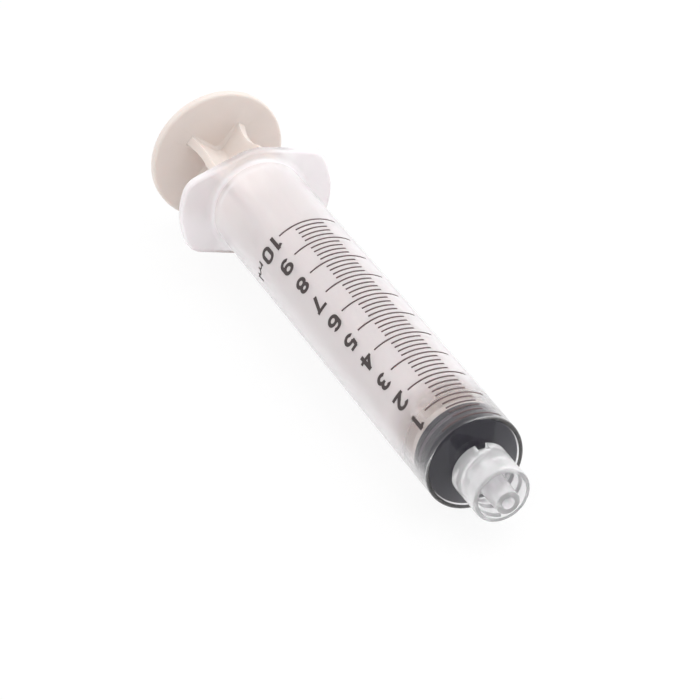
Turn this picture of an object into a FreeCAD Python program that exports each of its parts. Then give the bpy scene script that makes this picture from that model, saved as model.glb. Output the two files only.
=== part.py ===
# Ten millilitre luer lock syringe, lying on its side with the plunger pushed home.
# Millimetres. +X points out of the luer tip, +Z is up and the finger wings lie along Y.
# The origin is the centre of the luer cone's mouth, so every station is a distance behind it.

import FreeCAD
import Part
import Sketcher
import math
import os

doc = FreeCAD.newDocument("luer_lock_syringe")

# Driving sizes: alias, value, what it is

SIZES = [
    ("bore_dia", 14.5, "inside diameter of the barrel"),
    ("barrel_wall", 0.87, "wall of the barrel tube"),
    ("barrel_length", 84.2, "front rim to the back of the finger flange"),
    ("rim_rounding", 0.8, "rounding of the barrel's front rim"),
    ("shoulder_rise", 1.55, "front rim to the foot of the luer collar"),
    ("shoulder_wall", 0.82, "front rim to the front corner of the bore"),
    ("nose_rise", 2.0, "height of the cone inside the barrel's front end"),
    ("nose_gap", 0.3, "gap between that cone and the stopper when home"),
    ("collar_dia", 9.4, "outside diameter of the luer collar"),
    ("collar_length", 7.6, "foot of the collar to its front face"),
    ("collar_rounding", 0.3, "rounding of the collar's front edges"),
    ("tip_proud", 2.1, "how far the luer cone stands out of the collar"),
    ("tip_dia", 3.93, "luer cone's diameter at its mouth"),
    ("tip_taper", 0.06, "luer cone's taper on its diameter"),
    ("tip_rounding", 0.2, "rounding of the luer cone's mouth"),
    ("cone_length", 8.7, "mouth of the luer cone to the floor of the collar"),
    ("lumen_dia", 2.1, "bore through the luer cone"),
    ("thread_root_dia", 8.0, "collar's inside diameter, at the thread's root"),
    ("thread_crest_dia", 7.0, "diameter over the crests of the collar's thread"),
    ("thread_lead", 5.0, "advance of the two-start thread in one turn"),
    ("thread_foot", 1.1, "width of a thread ridge at its root"),
    ("thread_top", 0.35, "width of a thread ridge at its crest"),
    ("thread_bite", 0.03, "how far a thread ridge is rooted in the collar's wall"),
    ("thread_margin", 0.25, "thread kept clear of the collar's floor and face"),
    ("window_width", 1.8, "width of the moulding windows at the collar's foot"),
    ("window_open", 0.7, "how far a window reaches past the collar's floor"),
    ("window_floor_dia", 7.4, "diameter at the bottom of a window"),
    ("flange_thickness", 1.7, "thickness of the finger flange"),
    ("wing_radius", 13.47, "barrel's axis to the end of a finger wing"),
    ("flange_half_width", 9.71, "barrel's axis to the flange's long sides"),
    ("wing_taper", 17.0, "angle by which each long side closes in, in degrees"),
    ("wing_corner", 3.7, "corner radius of the wings"),
    ("flange_edge", 0.5, "rounding of the flange's edges"),
    ("flange_root", 1.0, "fillet between the flange and the tube"),
    ("mouth_bevel", 0.35, "bevel at the open end of the bore"),
    ("bead_height", 0.2, "height of the stop bead inside the bore"),
    ("bead_half_width", 0.6, "half the length of the stop bead"),
    ("bead_setback", 3.0, "back of the flange to the middle of the stop bead"),
    ("stopper_gap", 0.06, "radial gap between the stopper's ribs and the bore"),
    ("stopper_length", 4.35, "length of the stopper's rim, front edge to back"),
    ("stopper_bevel", 0.35, "bevel at the stopper's front edge"),
    ("stopper_flat_dia", 3.2, "flat at the middle of the stopper's face"),
    ("rib_back_length", 1.2, "length of the stopper's back rib"),
    ("groove_foot", 0.4, "width of the stopper's groove at its bottom"),
    ("groove_slope_width", 0.15, "width of each sloping side of the groove"),
    ("groove_depth", 0.6, "depth of the groove between the stopper's ribs"),
    ("lip_length", 1.1, "lip of the stopper that holds the rod's head"),
    ("head_dia", 6.8, "diameter of the rod's head"),
    ("head_length", 1.5, "length of the rod's head"),
    ("neck_dia", 4.4, "diameter of the rod's neck"),
    ("head_gap", 0.08, "gap all round the rod's head and neck"),
    ("pusher_gap", 0.2, "gap between the stopper's back and the rod's pusher disc"),
    ("pusher_length", 1.2, "thickness of the pusher disc"),
    ("rod_gap", 0.45, "radial gap between the rod's ribs and the bore"),
    ("rod_rib", 1.4, "thickness of the rod's four ribs"),
    ("rod_core_dia", 2.8, "round core where the ribs meet"),
    ("waist_length", 8.0, "length of the hollow in each rib beside the thumb disc"),
    ("waist_depth", 0.9, "depth of that hollow"),
    ("thumb_gap", 14.7, "back of the flange to the thumb disc, plunger home"),
    ("thumb_dia", 23.4, "diameter of the thumb disc"),
    ("thumb_thickness", 1.65, "thickness of the thumb disc"),
    ("thumb_edge", 0.5, "rounding of the thumb disc's edges"),
    ("rod_roll", 48.7, "turn of the rod's ribs away from upright, in degrees"),
    ("zero_setback", 1.45, "front rim to the scale's zero line"),
    ("scale_volume", 10, "millilitres on the scale"),
    ("divisions", 5, "scale lines to a millilitre"),
    ("line_width", 0.32, "width of the scale lines"),
    ("long_line", 73.0, "arc of a whole-millilitre line, in degrees"),
    ("short_line", 35.5, "arc of a line between them, in degrees"),
    ("ink_thickness", 0.03, "height of the print on the barrel"),
    ("figure_angle", 143.0, "place of the last figures round the barrel, in degrees"),
    ("figure_drift", 0.35, "turn from each figure to the next, in degrees"),
    ("figure_lead", 0.55, "how far the figures' middles stand ahead of their lines"),
    ("figure_height", 3.5, "height of a figure"),
    ("figure_width", 2.25, "width of a figure"),
    ("figure_pitch", 2.55, "spacing of two figures side by side"),
    ("figure_pen", 0.65, "stroke width of the figures"),
    ("unit_angle", 183.6, "place of the unit mark round the barrel, in degrees"),
    ("unit_height", 1.85, "height of the unit mark"),
    ("unit_width", 2.45, "width of the unit mark's wider letter"),
    ("unit_pitch", 2.6, "spacing of the unit mark's two letters"),
    ("unit_pen", 0.3, "stroke width of the unit mark"),
]

sheet = doc.addObject("Spreadsheet::Sheet", "sizes")
sheet.Label = "sizes"
for row, (alias, value, meaning) in enumerate(SIZES, start=1):
    sheet.set(f"A{row}", str(value))
    sheet.setAlias(f"A{row}", alias)
    sheet.set(f"B{row}", meaning)
doc.recompute()


def size(alias):
    """Name one of the sheet's sizes inside an expression."""
    return f"<<sizes>>.{alias}"


def worth(expression):
    """Work an expression out to a number."""
    result = sheet.evalExpression(expression)
    return float(getattr(result, "Value", result))


# Radii, as expressions

BORE = f"({size('bore_dia')} / 2)"
TUBE = f"({BORE} + {size('barrel_wall')})"
COLLAR = f"({size('collar_dia')} / 2)"
LUMEN = f"({size('lumen_dia')} / 2)"
THREAD_ROOT = f"({size('thread_root_dia')} / 2)"
THREAD_CREST = f"({size('thread_crest_dia')} / 2)"
STOPPER = f"({BORE} - {size('stopper_gap')})"
ROD = f"({BORE} - {size('rod_gap')})"
CORE = f"({size('rod_core_dia')} / 2)"
HEAD = f"({size('head_dia')} / 2)"
NECK = f"({size('neck_dia')} / 2)"
THUMB = f"({size('thumb_dia')} / 2)"

# Stations, as expressions: how far each lies behind the mouth of the luer cone

COLLAR_FACE = size("tip_proud")
COLLAR_FOOT = f"({COLLAR_FACE} + {size('collar_length')})"
COLLAR_FLOOR = size("cone_length")
RIM = f"({COLLAR_FOOT} + {size('shoulder_rise')})"
BORE_FRONT = f"({RIM} + {size('shoulder_wall')})"
NOSE_APEX = f"({BORE_FRONT} - {size('nose_rise')})"
FLANGE_BACK = f"({RIM} + {size('barrel_length')})"
FLANGE_FACE = f"({FLANGE_BACK} - {size('flange_thickness')})"
BEAD = f"({FLANGE_BACK} - {size('bead_setback')})"
ZERO_LINE = f"({RIM} + {size('zero_setback')})"
STOPPER_FRONT = f"({BORE_FRONT} + {size('nose_gap')})"
STOPPER_BACK = f"({STOPPER_FRONT} + {size('stopper_length')})"
PUSHER_FACE = f"({STOPPER_BACK} + {size('pusher_gap')})"
PUSHER_BACK = f"({PUSHER_FACE} + {size('pusher_length')})"
THUMB_FACE = f"({FLANGE_BACK} + {size('thumb_gap')})"
THUMB_BACK = f"({THUMB_FACE} + {size('thumb_thickness')})"

# One millilitre of bore, measured along the barrel
PER_ML = f"(1000 / (pi * {BORE} * {BORE}))"


def luer_radius(station):
    """Radius of the tapered luer cone at a station."""
    return f"({size('tip_dia')} / 2 + {size('tip_taper')} / 2 * {station})"


def origin_feature(body, role):
    """Find one of a body's own origin planes or axes."""
    return next(item for item in body.Origin.OriginFeatures if item.Role == role)


def new_body(name):
    """Start a sub-part."""
    body = doc.addObject("PartDesign::Body", name)
    body.Label = name
    return body


def new_sketch(body, name, plane, offset=None):
    """Start a sketch on one of the body's own planes, lifted off it by an expression."""
    sketch = body.newObject("Sketcher::SketchObject", name)
    sketch.AttachmentSupport = (origin_feature(body, plane), [""])
    sketch.MapMode = "FlatFace"
    if offset:
        sketch.setExpression("AttachmentOffset.Base.z", offset)
    doc.recompute()
    return sketch


def pin_down(sketch, edge, end, across, up):
    """Tie one end of an edge to the sketch's origin by two expressions."""
    for kind, expression in (("DistanceX", across), ("DistanceY", up)):
        distance = worth(expression)
        if abs(distance) < 1e-9:
            axis = -2 if kind == "DistanceX" else -1
            sketch.addConstraint(Sketcher.Constraint("PointOnObject", edge, end, axis))
            continue
        ends = (-1, 1, edge, end)
        if distance < 0:
            ends = (edge, end, -1, 1)
            expression = f"-({expression})"
        number = sketch.addConstraint(Sketcher.Constraint(kind, *ends, abs(distance)))
        sketch.setExpression(f"Constraints[{number}]", expression)


def draw_section(sketch, corners):
    """Draw a closed outline from (distance behind the tip, height) expressions."""
    places = [(f"-({back})", up) for back, up in corners]
    points = [FreeCAD.Vector(worth(across), worth(up), 0) for across, up in places]
    count = len(points)
    for number in range(count):
        line = Part.LineSegment(points[number], points[(number + 1) % count])
        sketch.addGeometry(line, False)
    for number in range(count):
        sketch.addConstraint(Sketcher.Constraint("Coincident", number, 2, (number + 1) % count, 1))
    for number, (across, up) in enumerate(places):
        pin_down(sketch, number, 1, across, up)
    doc.recompute()


def turn(body, name, corners, kind="Revolution", arc=None):
    """Turn an outline about the syringe's axis, as material or as a groove."""
    sketch = new_sketch(body, name + "_section", "XZ_Plane")
    draw_section(sketch, corners)
    feature = body.newObject("PartDesign::" + kind, name)
    feature.Profile = sketch
    feature.ReferenceAxis = (sketch, ["H_Axis"])
    feature.Angle = 360
    if arc:
        feature.Midplane = True
        feature.setExpression("Angle", f"{arc} * 1 deg")
    doc.recompute()
    return feature


def repeat_round(body, name, feature, count):
    """Repeat a feature round the syringe's axis."""
    pattern = body.newObject("PartDesign::PolarPattern", name)
    pattern.Originals = [feature]
    pattern.Axis = (origin_feature(body, "X_Axis"), [""])
    pattern.Angle = 360
    pattern.Occurrences = count
    body.Tip = pattern
    doc.recompute()
    return pattern


def repeat_back(body, name, feature, spacing, steps):
    """Repeat a feature towards the thumb, a number of steps along the barrel."""
    pattern = body.newObject("PartDesign::LinearPattern", name)
    pattern.Originals = [feature]
    pattern.Direction = (origin_feature(body, "X_Axis"), [""])
    pattern.Reversed = True
    pattern.setExpression("Length", f"({steps}) * ({spacing})")
    pattern.setExpression("Occurrences", f"({steps}) + 1")
    body.Tip = pattern
    doc.recompute()
    return pattern


def round_edges(body, name, base, radius, wanted):
    """Round the edges of the last feature for which wanted(edge) holds."""
    names = [f"Edge{number}" for number, edge in enumerate(base.Shape.Edges, start=1) if wanted(edge)]
    fillet = body.newObject("PartDesign::Fillet", name)
    fillet.Base = (base, names)
    fillet.setExpression("Radius", radius)
    body.Tip = fillet
    doc.recompute()
    return fillet


def near(first, second):
    """Two lengths agree."""
    return abs(first - second) < 1e-4


def circle_at(back, radius):
    """Test for a circular edge about the axis at a station, with a given radius."""
    station, reach = -worth(back), worth(radius)

    def wanted(edge):
        if not isinstance(edge.Curve, Part.Circle):
            return False
        middle = edge.Curve.Center
        on_axis = near(middle.y, 0) and near(middle.z, 0)
        return on_axis and near(middle.x, station) and near(edge.Curve.Radius, reach)

    return wanted


# Barrel: tube, nose, luer collar, luer cone and finger flange, moulded in one piece


def draw_flange(sketch):
    """Draw the flange: two tapering wings with round ends, meeting over the barrel."""
    half_width = size("flange_half_width")
    taper = size("wing_taper")
    peak = f"({half_width} / cos({taper} * 1 deg))"
    top = worth(peak)
    reach = worth(size("wing_radius"))
    slope = math.radians(worth(taper))
    swing = math.pi / 2 - slope - math.acos(worth(half_width) / reach)
    across, up = reach * math.cos(swing), reach * math.sin(swing)
    above, below = FreeCAD.Vector(0, top, 0), FreeCAD.Vector(0, -top, 0)
    tips = {(side, level): FreeCAD.Vector(side * across, level * up, 0)
            for side in (1, -1) for level in (1, -1)}
    rim = Part.Circle(FreeCAD.Vector(0, 0, 0), FreeCAD.Vector(0, 0, 1), reach)
    sketch.addGeometry(Part.LineSegment(tips[1, 1], above), False)
    sketch.addGeometry(Part.ArcOfCircle(rim, -swing, swing), False)
    sketch.addGeometry(Part.LineSegment(below, tips[1, -1]), False)
    sketch.addGeometry(Part.LineSegment(below, tips[-1, -1]), False)
    sketch.addGeometry(Part.ArcOfCircle(rim, math.pi - swing, math.pi + swing), False)
    sketch.addGeometry(Part.LineSegment(tips[-1, 1], above), False)
    joints = [(0, 2, 5, 2), (0, 1, 1, 2), (1, 1, 2, 2), (2, 1, 3, 1), (3, 2, 4, 2), (4, 1, 5, 1)]
    for joint in joints:
        sketch.addConstraint(Sketcher.Constraint("Coincident", *joint))
    for arc in (1, 4):
        sketch.addConstraint(Sketcher.Constraint("Coincident", arc, 3, -1, 1))
        number = sketch.addConstraint(Sketcher.Constraint("Radius", arc, reach))
        sketch.setExpression(f"Constraints[{number}]", size("wing_radius"))
    pin_down(sketch, 0, 2, "0", peak)
    pin_down(sketch, 2, 1, "0", f"-{peak}")
    for line, angle in ((0, f"180 - {taper}"), (2, taper), (3, f"180 - {taper}"), (5, taper)):
        radians = math.radians(worth(angle))
        number = sketch.addConstraint(Sketcher.Constraint("Angle", line, radians))
        sketch.setExpression(f"Constraints[{number}]", f"({angle}) * 1 deg")
    doc.recompute()


def make_barrel():
    body = new_body("barrel")
    outside = turn(body, "barrel_outside", [
        (FLANGE_BACK, "0"),
        (FLANGE_BACK, TUBE),
        (RIM, TUBE),
        (COLLAR_FOOT, COLLAR),
        (COLLAR_FACE, COLLAR),
        (COLLAR_FACE, luer_radius(COLLAR_FACE)),
        ("0", luer_radius("0")),
        ("0", "0"),
    ])
    outside = round_edges(body, "rim_round", outside, size("rim_rounding"), circle_at(RIM, TUBE))

    flange_sketch = new_sketch(body, "flange_outline", "YZ_Plane", f"-{FLANGE_BACK}")
    draw_flange(flange_sketch)
    flange = body.newObject("PartDesign::Pad", "flange")
    flange.Profile = flange_sketch
    flange.setExpression("Length", size("flange_thickness"))
    doc.recompute()

    thickness = worth(size("flange_thickness"))
    outer = worth(TUBE)

    def upright(edge, sideways):
        """A straight edge through the flange's thickness, at a wing corner or over the axis."""
        if not isinstance(edge.Curve, Part.Line) or not near(edge.Length, thickness):
            return False
        start, end = (vertex.Point for vertex in edge.Vertexes)
        if near(start.x, end.x) or math.hypot(start.y, start.z) < outer:
            return False
        return (abs(start.y) > 1e-4) == sideways

    corners = round_edges(body, "wing_corners", flange, size("wing_corner"),
                          lambda edge: upright(edge, True))
    sides = round_edges(body, "flange_middle", corners, size("flange_half_width"),
                        lambda edge: upright(edge, False))

    face, back = -worth(FLANGE_FACE), -worth(FLANGE_BACK)

    def on_outline(edge):
        """An edge of the flange's outline, on its front or its back."""
        level = all(near(vertex.X, face) or near(vertex.X, back) for vertex in edge.Vertexes)
        middle = edge.valueAt((edge.FirstParameter + edge.LastParameter) / 2)
        flat = near(middle.x, face) or near(middle.x, back)
        return level and flat and math.hypot(middle.y, middle.z) > outer + 1e-3

    edges = round_edges(body, "flange_edges", sides, size("flange_edge"), on_outline)
    root = round_edges(body, "flange_root_fillet", edges, size("flange_root"),
                       circle_at(FLANGE_FACE, TUBE))
    face_edge = round_edges(body, "collar_face_round", root, size("collar_rounding"),
                            circle_at(COLLAR_FACE, COLLAR))
    round_edges(body, "tip_round", face_edge, size("tip_rounding"), circle_at("0", luer_radius("0")))

    bevel = size("mouth_bevel")
    bead_width = size("bead_half_width")
    turn(body, "bore", [
        (FLANGE_BACK, "0"),
        (FLANGE_BACK, f"{BORE} + {bevel}"),
        (f"{FLANGE_BACK} - {bevel}", BORE),
        (f"{BEAD} + {bead_width}", BORE),
        (BEAD, f"{BORE} - {size('bead_height')}"),
        (f"{BEAD} - {bead_width}", BORE),
        (BORE_FRONT, BORE),
        (NOSE_APEX, LUMEN),
        ("0", LUMEN),
        ("0", "0"),
    ], kind="Groove")
    turn(body, "collar_inside", [
        (COLLAR_FACE, luer_radius(COLLAR_FACE)),
        (COLLAR_FACE, THREAD_ROOT),
        (COLLAR_FLOOR, THREAD_ROOT),
        (COLLAR_FLOOR, luer_radius(COLLAR_FLOOR)),
    ], kind="Groove")

    thread_sketch = new_sketch(body, "thread_section", "XZ_Plane")
    foot, top = size("thread_foot"), size("thread_top")
    start = f"({COLLAR_FACE} + {size('thread_margin')})"
    buried = f"({THREAD_ROOT} + {size('thread_bite')})"
    draw_section(thread_sketch, [
        (start, buried),
        (f"{start} + {foot}", buried),
        (f"{start} + ({foot} + {top}) / 2", THREAD_CREST),
        (f"{start} + ({foot} - {top}) / 2", THREAD_CREST),
    ])
    thread = body.newObject("PartDesign::AdditiveHelix", "thread")
    thread.Profile = thread_sketch
    thread.ReferenceAxis = (thread_sketch, ["H_Axis"])
    thread.Mode = "pitch-height-angle"
    thread.Reversed = True
    thread.setExpression("Pitch", size("thread_lead"))
    run = f"{COLLAR_FLOOR} - {COLLAR_FACE} - {foot} - 2 * {size('thread_margin')}"
    thread.setExpression("Height", run)
    doc.recompute()
    repeat_round(body, "thread_starts", thread, 2)

    window_sketch = new_sketch(body, "window_outline", "XY_Plane", f"{size('window_floor_dia')} / 2")
    half = f"({size('window_width')} / 2)"
    window_top = f"({COLLAR_FLOOR} - {size('window_open')})"
    draw_section(window_sketch, [
        (COLLAR_FOOT, half),
        (window_top, half),
        (window_top, f"-{half}"),
        (COLLAR_FOOT, f"-{half}"),
    ])
    window = body.newObject("PartDesign::Pocket", "window")
    window.Profile = window_sketch
    window.Reversed = True
    window.setExpression("Length", f"{COLLAR}")
    doc.recompute()
    repeat_round(body, "windows", window, 2)
    return body


# Stopper: two sealing ribs with a groove between, a shallow cone in front, a pocket behind


def make_stopper():
    body = new_body("stopper")
    slope = f"({size('nose_rise')} / ({BORE} - {LUMEN}))"
    shoulder = f"({STOPPER} - {size('stopper_bevel')})"
    flat = f"({size('stopper_flat_dia')} / 2)"
    crown = f"({STOPPER_FRONT} - ({shoulder} - {flat}) * {slope})"
    groove_back = f"({STOPPER_BACK} - {size('rib_back_length')})"
    groove_floor = f"({STOPPER} - {size('groove_depth')})"
    side, foot = size("groove_slope_width"), size("groove_foot")
    turn(body, "stopper_outside", [
        (STOPPER_BACK, "0"),
        (STOPPER_BACK, STOPPER),
        (groove_back, STOPPER),
        (f"{groove_back} - {side}", groove_floor),
        (f"{groove_back} - {side} - {foot}", groove_floor),
        (f"{groove_back} - 2 * {side} - {foot}", STOPPER),
        (f"{STOPPER_FRONT} + {size('stopper_bevel')}", STOPPER),
        (STOPPER_FRONT, shoulder),
        (crown, flat),
        (crown, "0"),
    ])
    gap = size("head_gap")
    pocket_back = f"({STOPPER_BACK} - {size('lip_length')})"
    pocket_front = f"({pocket_back} - {size('head_length')} - 2 * {gap})"
    turn(body, "head_pocket", [
        (STOPPER_BACK, "0"),
        (STOPPER_BACK, f"{NECK} + {gap}"),
        (pocket_back, f"{NECK} + {gap}"),
        (pocket_back, f"{HEAD} + {gap}"),
        (pocket_front, f"{HEAD} + {gap}"),
        (pocket_front, "0"),
    ], kind="Groove")
    return body


# Plunger rod: head, neck, pusher disc, four ribs on a round core, thumb disc


def draw_rib(sketch):
    """Draw one rib: straight along the bore, hollowed beside the thumb disc."""
    length, depth = size("waist_length"), size("waist_depth")
    radius = f"(({length} * {length} / 4 + {depth} * {depth}) / (2 * {depth}))"
    waist = f"({THUMB_FACE} - {length})"
    places = [
        (f"-{THUMB_FACE}", "0"),
        (f"-{PUSHER_BACK}", "0"),
        (f"-{PUSHER_BACK}", ROD),
        (f"-{waist}", ROD),
        (f"-{THUMB_FACE}", ROD),
    ]
    points = [FreeCAD.Vector(worth(across), worth(up), 0) for across, up in places]
    for number in (0, 1, 2):
        sketch.addGeometry(Part.LineSegment(points[number], points[number + 1]), False)
    deepest = FreeCAD.Vector((points[3].x + points[4].x) / 2, points[3].y - worth(depth), 0)
    sketch.addGeometry(Part.Arc(points[4], deepest, points[3]), False)
    sketch.addGeometry(Part.LineSegment(points[4], points[0]), False)
    for joint in ((0, 2, 1, 1), (1, 2, 2, 1), (2, 2, 3, 2), (3, 1, 4, 1), (4, 2, 0, 1)):
        sketch.addConstraint(Sketcher.Constraint("Coincident", *joint))
    pin_down(sketch, 0, 1, *places[0])
    pin_down(sketch, 1, 1, *places[1])
    pin_down(sketch, 2, 1, *places[2])
    pin_down(sketch, 2, 2, *places[3])
    pin_down(sketch, 4, 1, *places[4])
    number = sketch.addConstraint(Sketcher.Constraint("Radius", 3, worth(radius)))
    sketch.setExpression(f"Constraints[{number}]", radius)
    doc.recompute()


def make_plunger_rod():
    body = new_body("plunger_rod")
    head_back = f"({STOPPER_BACK} - {size('lip_length')} - {size('head_gap')})"
    head_front = f"({head_back} - {size('head_length')})"
    turned = turn(body, "rod_turned", [
        (THUMB_BACK, "0"),
        (THUMB_BACK, THUMB),
        (THUMB_FACE, THUMB),
        (THUMB_FACE, CORE),
        (PUSHER_BACK, CORE),
        (PUSHER_BACK, ROD),
        (PUSHER_FACE, ROD),
        (PUSHER_FACE, NECK),
        (head_back, NECK),
        (head_back, HEAD),
        (head_front, HEAD),
        (head_front, "0"),
    ])
    disc_front = circle_at(THUMB_FACE, THUMB)
    disc_back = circle_at(THUMB_BACK, THUMB)
    round_edges(body, "thumb_edges", turned, size("thumb_edge"),
                lambda edge: disc_front(edge) or disc_back(edge))

    rib_sketch = new_sketch(body, "rib_outline", "XZ_Plane")
    draw_rib(rib_sketch)
    rib = body.newObject("PartDesign::Pad", "rib")
    rib.Profile = rib_sketch
    rib.Midplane = True
    rib.setExpression("Length", size("rod_rib"))
    doc.recompute()
    repeat_round(body, "ribs", rib, 4)
    about_axis = FreeCAD.Rotation(FreeCAD.Vector(1, 0, 0), worth(size("rod_roll")))
    body.Placement = FreeCAD.Placement(FreeCAD.Vector(0, 0, 0), about_axis)
    body.setExpression("Placement.Rotation.Angle", f"{size('rod_roll')} * 1 deg")
    return body


# Scale lines: bands of ink on the barrel, long ones at each whole millilitre


def ink_band(body, name, arc):
    """Turn one scale line at zero, centred on the top of the barrel."""
    half = f"({size('line_width')} / 2)"
    skin = f"({TUBE} + {size('ink_thickness')})"
    return turn(body, name, [
        (f"{ZERO_LINE} - {half}", TUBE),
        (f"{ZERO_LINE} + {half}", TUBE),
        (f"{ZERO_LINE} + {half}", skin),
        (f"{ZERO_LINE} - {half}", skin),
    ], arc=arc)


def make_scale_lines():
    body = new_body("scale_lines")
    short = ink_band(body, "short_line", size("short_line"))
    step = f"{PER_ML} / {size('divisions')}"
    repeat_back(body, "short_lines", short, step, f"{size('scale_volume')} * {size('divisions')}")
    long = ink_band(body, "long_line", size("long_line"))
    repeat_back(body, "long_lines", long, PER_ML, size("scale_volume"))
    return body


# Scale figures: plain pen strokes, laid on the barrel. Each is drawn about its own middle, read
# with the tip upwards. half_width and half_height reach to the middle of the pen's outer strokes.


def pen_line(start, end, pen):
    """A straight stroke with square ends."""
    along = FreeCAD.Vector(*end, 0) - FreeCAD.Vector(*start, 0)
    side = FreeCAD.Vector(-along.y, along.x, 0).normalize() * (pen / 2)
    first, last = FreeCAD.Vector(*start, 0), FreeCAD.Vector(*end, 0)
    return Part.Face(Part.makePolygon([first + side, last + side, last - side, first - side, first + side]))


def pen_arc(middle, radius, start, end, pen):
    """A round stroke, anticlockwise from one angle to another, in degrees."""
    centre, up = FreeCAD.Vector(*middle, 0), FreeCAD.Vector(0, 0, 1)
    if end - start >= 360:
        rings = [Part.Wire(Part.makeCircle(radius + half, centre, up)) for half in (pen / 2, -pen / 2)]
        return Part.Face(rings[0]).cut(Part.Face(rings[1]))
    outer = Part.makeCircle(radius + pen / 2, centre, up, start, end)
    inner = Part.makeCircle(radius - pen / 2, centre, up, start, end)
    ends = [Part.makeLine(outer.valueAt(at), inner.valueAt(at))
            for at in (outer.FirstParameter, outer.LastParameter)]
    return Part.Face(Part.Wire(Part.__sortEdges__([outer, inner] + ends)))


def around(middle, radius, degrees):
    """The point at an angle on a round stroke's middle line."""
    angle = math.radians(degrees)
    return (middle[0] + radius * math.cos(angle), middle[1] + radius * math.sin(angle))


def draw_zero(wide, high, pen):
    straight = high - wide
    return [
        pen_arc((0, straight), wide, 0, 180, pen),
        pen_arc((0, -straight), wide, 180, 360, pen),
        pen_line((-wide, -straight), (-wide, straight), pen),
        pen_line((wide, -straight), (wide, straight), pen),
    ]


def draw_one(wide, high, pen):
    stem = wide * 0.3
    return [
        pen_line((stem, -high - pen / 2), (stem, high + pen / 2), pen),
        pen_line((stem, high), (stem - wide, high - wide * 0.55), pen * 0.9),
    ]


def draw_two(wide, high, pen):
    bowl = (0, high - wide)
    shoulder = around(bowl, wide, -40)
    return [
        pen_arc(bowl, wide, -40, 165, pen),
        pen_line(shoulder, (-wide * 0.85, -high), pen),
        pen_line((-wide - pen / 2, -high), (wide + pen / 2, -high), pen),
    ]


def draw_three(wide, high, pen):
    upper, lower = high * 0.47, high * 0.53
    return [
        pen_arc((0, high - upper), upper, -90, 150, pen),
        pen_arc((0, lower - high), lower, -150, 90, pen),
        pen_line((-upper * 0.35, high - 2 * upper), (0, high - 2 * upper), pen * 0.9),
    ]


def draw_four(wide, high, pen):
    stem, bar = wide * 0.4, -high * 0.45
    return [
        pen_line((stem, -high - pen / 2), (stem, high + pen / 2), pen),
        pen_line((-wide - pen / 2, bar), (wide + pen / 2, bar), pen * 0.9),
        pen_line((stem, high), (-wide, bar), pen * 0.85),
    ]


def draw_five(wide, high, pen):
    bowl, radius = (-wide * 0.05, wide - high), wide
    start = around(bowl, radius, 135)
    return [
        pen_line((-wide * 0.75, high), (wide * 0.9, high), pen),
        pen_line((-wide * 0.6, high), start, pen * 0.9),
        pen_arc(bowl, radius, -155, 135, pen),
    ]


def draw_six(wide, high, pen):
    straight = high - wide
    return [
        pen_arc((0, -straight), wide, 0, 360, pen),
        pen_line((-wide, -straight), (-wide, straight), pen),
        pen_arc((0, straight), wide, 30, 180, pen),
    ]


def draw_seven(wide, high, pen):
    return [
        pen_line((-wide - pen / 2, high), (wide + pen / 2, high), pen),
        pen_line((wide * 0.85, high), (-wide * 0.3, -high - pen / 2), pen),
    ]


def draw_eight(wide, high, pen):
    upper, lower = high * 0.47, high * 0.53
    return [
        pen_arc((0, high - upper), upper, 0, 360, pen),
        pen_arc((0, lower - high), lower, 0, 360, pen),
    ]


def draw_nine(wide, high, pen):
    middle, up = FreeCAD.Vector(0, 0, 0), FreeCAD.Vector(0, 0, 1)
    strokes = draw_six(wide, high, pen)
    for stroke in strokes:
        stroke.rotate(middle, up, 180)
    return strokes


def draw_small_m(wide, high, pen):
    arch, legs = wide / 2, -high - pen / 2
    spring = -arch
    strokes = [pen_line((across, legs), (across, spring), pen) for across in (-wide, 0, wide)]
    strokes.append(pen_line((-wide, spring), (-wide, arch * 0.9), pen))
    return strokes + [pen_arc((side * arch, spring), arch, 0, 180, pen) for side in (-1, 1)]


def draw_small_l(wide, high, pen):
    return [pen_line((-wide, -high - pen / 2), (-wide, high + pen / 2), pen)]


DRAWINGS = {
    "0": draw_zero, "1": draw_one, "2": draw_two, "3": draw_three, "4": draw_four,
    "5": draw_five, "6": draw_six, "7": draw_seven, "8": draw_eight, "9": draw_nine,
    "m": draw_small_m, "l": draw_small_l,
}


def lay_on_barrel(strokes, station, degrees, skin):
    """Fuse strokes into a block across the barrel's wall, and keep what it has in the ink's skin."""
    deep = worth(size("figure_height"))
    reach = worth(TUBE) - deep / 2
    prisms = [stroke.extrude(FreeCAD.Vector(0, 0, deep)) for stroke in strokes]
    figure = prisms[0].fuse(prisms[1:]) if len(prisms) > 1 else prisms[0]
    angle = math.radians(degrees)
    outwards = FreeCAD.Vector(0, math.cos(angle), math.sin(angle))
    reading_up = FreeCAD.Vector(1, 0, 0)
    reading_right = reading_up.cross(outwards)
    turned = FreeCAD.Rotation(reading_right, reading_up, outwards, "ZXY")
    figure.Placement = FreeCAD.Placement(FreeCAD.Vector(-station, 0, 0) + outwards * reach, turned)
    return skin.common(figure).removeSplitter()


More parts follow.
